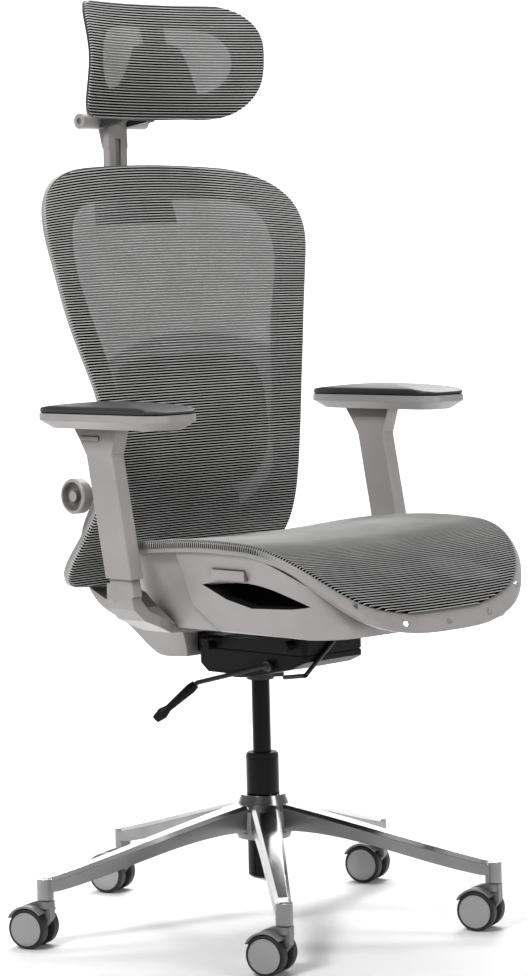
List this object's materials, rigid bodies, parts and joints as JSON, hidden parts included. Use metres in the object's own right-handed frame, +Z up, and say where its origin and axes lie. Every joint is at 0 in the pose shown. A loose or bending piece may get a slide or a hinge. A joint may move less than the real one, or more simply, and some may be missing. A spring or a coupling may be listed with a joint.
{
  "type": "office chair",
  "caption": "Swivel chair on a five-armed castor base with gas lift, tilting mesh seat and back, lumbar knob, adjustable armrests and headrest.",
  "frame": {"origin": "on the floor directly under the gas column's axis", "axes": "+Z up; the chair faces -Y; +X is the sitter's left"},
  "size_m": [0.7289, 0.7933, 1.3982],
  "materials": {
    "castor_grey": "moulded grey plastic",
    "steel": "bright steel",
    "tyre": "dark soft tread",
    "polished_aluminium": "polished die casting",
    "black_gloss": "gloss black paint",
    "black_plastic": "black moulding",
    "black_metal": "black coated steel",
    "plate_steel": "black pressed steel",
    "grey_plastic": "light warm grey moulding",
    "dark_plastic": "dark grey moulding",
    "pad": "dark grey soft polyurethane",
    "mesh": "ribbed black and grey mesh"
  },
  "bodies": {
    "base": {"star_base": "polished_aluminium", "column_tube": "black_gloss", "column_bush": "black_plastic", "column_clip": "steel", "gas_piston": "steel"},
    "castor_1": {"castor_1_hood": "castor_grey", "castor_1_pins": "steel"},
    "castor_1_left": {"castor_1_wheel_left": "tyre"},
    "castor_1_right": {"castor_1_wheel_right": "tyre"},
    "castor_2": {"castor_2_hood": "castor_grey", "castor_2_pins": "steel"},
    "castor_2_left": {"castor_2_wheel_left": "tyre"},
    "castor_2_right": {"castor_2_wheel_right": "tyre"},
    "castor_3": {"castor_3_hood": "castor_grey", "castor_3_pins": "steel"},
    "castor_3_left": {"castor_3_wheel_left": "tyre"},
    "castor_3_right": {"castor_3_wheel_right": "tyre"},
    "castor_4": {"castor_4_hood": "castor_grey", "castor_4_pins": "steel"},
    "castor_4_left": {"castor_4_wheel_left": "tyre"},
    "castor_4_right": {"castor_4_wheel_right": "tyre"},
    "castor_5": {"castor_5_hood": "castor_grey", "castor_5_pins": "steel"},
    "castor_5_left": {"castor_5_wheel_left": "tyre"},
    "castor_5_right": {"castor_5_wheel_right": "tyre"},
    "gas_lift": {"gas_spring": "black_gloss"},
    "mechanism": {"mech_housing": "black_plastic", "mech_collar": "black_metal", "link_bar": "black_metal", "tilt_shaft": "steel", "back_shaft": "steel"},
    "height_control": {"height_lever": "black_metal", "height_grip": "black_plastic"},
    "seat_carrier": {"seat_plate": "plate_steel", "arm_near_bracket": "grey_plastic", "arm_far_bracket": "grey_plastic"},
    "seat": {"seat_pan": "grey_plastic", "seat_rim": "grey_plastic", "seat_mesh": "mesh", "seat_screws": "steel"},
    "seat_release": {"seat_button": "grey_plastic"},
    "back": {"back_yoke": "grey_plastic", "yoke_link": "black_plastic", "back_frame": "dark_plastic", "back_mesh": "mesh"},
    "lumbar": {"lumbar_pad": "black_plastic"},
    "lumbar_control": {"lumbar_knob": "grey_plastic"},
    "headrest_post": {"headrest_stem": "grey_plastic", "headrest_pin": "steel"},
    "headrest": {"headrest_frame": "black_plastic", "headrest_mesh": "mesh"},
    "arm_near": {"arm_near_sleeve": "grey_plastic"},
    "arm_near_release": {"arm_near_trigger": "grey_plastic"},
    "arm_near_top": {"arm_near_pad_base": "grey_plastic", "arm_near_pad": "pad"},
    "arm_far": {"arm_far_sleeve": "grey_plastic"},
    "arm_far_release": {"arm_far_trigger": "grey_plastic"},
    "arm_far_top": {"arm_far_pad_base": "grey_plastic", "arm_far_pad": "pad"}
  },
  "joints": [
    {"name": "castor_1_swivel", "type": "hinge", "parent": "base", "child": "castor_1", "pos_m": [0.3406, 0.08058, 0.08], "axis": [0, 0, 1], "continuous": true},
    {"name": "castor_1_spin_left", "type": "hinge", "parent": "castor_1", "child": "castor_1_left", "pos_m": [0.33376, 0.10043, 0.03], "axis": [0.9455, 0.3256, 0], "continuous": true},
    {"name": "castor_1_spin_right", "type": "hinge", "parent": "castor_1", "child": "castor_1_right", "pos_m": [0.33376, 0.10043, 0.03], "axis": [0.9455, 0.3256, 0], "continuous": true},
    {"name": "castor_2_swivel", "type": "hinge", "parent": "base", "child": "castor_2", "pos_m": [0.02862, 0.34883, 0.08], "axis": [0, 0, 1], "continuous": true},
    {"name": "castor_2_spin_left", "type": "hinge", "parent": "castor_2", "child": "castor_2_left", "pos_m": [0.02178, 0.36868, 0.03], "axis": [0.9455, 0.3256, 0], "continuous": true},
    {"name": "castor_2_spin_right", "type": "hinge", "parent": "castor_2", "child": "castor_2_right", "pos_m": [0.02178, 0.36868, 0.03], "axis": [0.9455, 0.3256, 0], "continuous": true},
    {"name": "castor_3_swivel", "type": "hinge", "parent": "base", "child": "castor_3", "pos_m": [-0.32291, 0.13501, 0.08], "axis": [0, 0, 1], "continuous": true},
    {"name": "castor_3_spin_left", "type": "hinge", "parent": "castor_3", "child": "castor_3_left", "pos_m": [-0.32975, 0.15487, 0.03], "axis": [0.9455, 0.3256, 0], "continuous": true},
    {"name": "castor_3_spin_right", "type": "hinge", "parent": "castor_3", "child": "castor_3_right", "pos_m": [-0.32975, 0.15487, 0.03], "axis": [0.9455, 0.3256, 0], "continuous": true},
    {"name": "castor_4_swivel", "type": "hinge", "parent": "base", "child": "castor_4", "pos_m": [-0.22819, -0.26539, 0.08], "axis": [0, 0, 1], "continuous": true},
    {"name": "castor_4_spin_left", "type": "hinge", "parent": "castor_4", "child": "castor_4_left", "pos_m": [-0.23503, -0.24553, 0.03], "axis": [0.9455, 0.3256, 0], "continuous": true},
    {"name": "castor_4_spin_right", "type": "hinge", "parent": "castor_4", "child": "castor_4_right", "pos_m": [-0.23503, -0.24553, 0.03], "axis": [0.9455, 0.3256, 0], "continuous": true},
    {"name": "castor_5_swivel", "type": "hinge", "parent": "base", "child": "castor_5", "pos_m": [0.18188, -0.29903, 0.08], "axis": [0, 0, 1], "continuous": true},
    {"name": "castor_5_spin_left", "type": "hinge", "parent": "castor_5", "child": "castor_5_left", "pos_m": [0.17505, -0.27917, 0.03], "axis": [0.9455, 0.3256, 0], "continuous": true},
    {"name": "castor_5_spin_right", "type": "hinge", "parent": "castor_5", "child": "castor_5_right", "pos_m": [0.17505, -0.27917, 0.03], "axis": [0.9455, 0.3256, 0], "continuous": true},
    {"name": "seat_height", "type": "slide", "parent": "base", "child": "gas_lift", "axis": [0, 0, 1], "range_m": [-0.09, 0.005]},
    {"name": "seat_swivel", "type": "hinge", "parent": "gas_lift", "child": "mechanism", "pos_m": [0, 0, 0.4], "axis": [0, 0, 1], "continuous": true},
    {"name": "height_lever_lift", "type": "hinge", "parent": "mechanism", "child": "height_control", "pos_m": [-0.06, -0.084, 0.407], "axis": [-1, 0, 0], "range_deg": [-8, 0], "stiffness_Nm_per_rad": 3, "springref_deg": 8.02},
    {"name": "seat_tilt", "type": "hinge", "parent": "mechanism", "child": "seat_carrier", "pos_m": [0, -0.128, 0.44], "axis": [1, 0, 0], "range_deg": [-5, 0]},
    {"name": "back_recline", "type": "hinge", "parent": "mechanism", "child": "back", "pos_m": [0, 0.036, 0.43], "axis": [1, 0, 0], "range_deg": [-20, 0], "stiffness_Nm_per_rad": 60, "springref_deg": 28.65},
    {"name": "seat_depth", "type": "slide", "parent": "seat_carrier", "child": "seat", "axis": [0, -1, 0], "range_m": [0, 0.05]},
    {"name": "seat_button_press", "type": "slide", "parent": "seat", "child": "seat_release", "axis": [1, 0, 0], "range_m": [0, 0.003], "stiffness_N_per_m": 1000},
    {"name": "lumbar_turn", "type": "hinge", "parent": "back", "child": "lumbar_control", "pos_m": [-0.16, 0.222, 0.653], "axis": [-1, 0, 0], "range_deg": [0, 180]},
    {"name": "lumbar_press", "type": "slide", "parent": "back", "child": "lumbar", "axis": [0, -1, 0], "range_m": [0, 0.012]},
    {"name": "headrest_height", "type": "slide", "parent": "back", "child": "headrest_post", "axis": [0, 0, 1], "range_m": [0, 0.04]},
    {"name": "headrest_tilt", "type": "hinge", "parent": "headrest_post", "child": "headrest", "pos_m": [0, 0.298, 1.222], "axis": [1, 0, 0], "range_deg": [-25, 20]},
    {"name": "arm_near_height", "type": "slide", "parent": "seat_carrier", "child": "arm_near", "axis": [0, 0.1908, 0.9816], "range_m": [0, 0.06]},
    {"name": "arm_near_press", "type": "slide", "parent": "arm_near", "child": "arm_near_release", "axis": [1, 0, 0], "range_m": [0, 0.0009], "stiffness_N_per_m": 1000},
    {"name": "arm_near_slide", "type": "slide", "parent": "arm_near", "child": "arm_near_top", "axis": [0, -1, 0], "range_m": [-0.02, 0.04]},
    {"name": "arm_far_height", "type": "slide", "parent": "seat_carrier", "child": "arm_far", "axis": [0, 0.1908, 0.9816], "range_m": [0, 0.06]},
    {"name": "arm_far_press", "type": "slide", "parent": "arm_far", "child": "arm_far_release", "axis": [-1, 0, 0], "range_m": [0, 0.0009], "stiffness_N_per_m": 1000},
    {"name": "arm_far_slide", "type": "slide", "parent": "arm_far", "child": "arm_far_top", "axis": [0, -1, 0], "range_m": [-0.02, 0.04]}
  ],
  "couplings": [
    {"joint": "seat_tilt", "follows": "back_recline", "ratio": 0.25},
    {"joint": "lumbar_turn", "follows": "lumbar_press", "rad_per_m": 261.8}
  ]
}
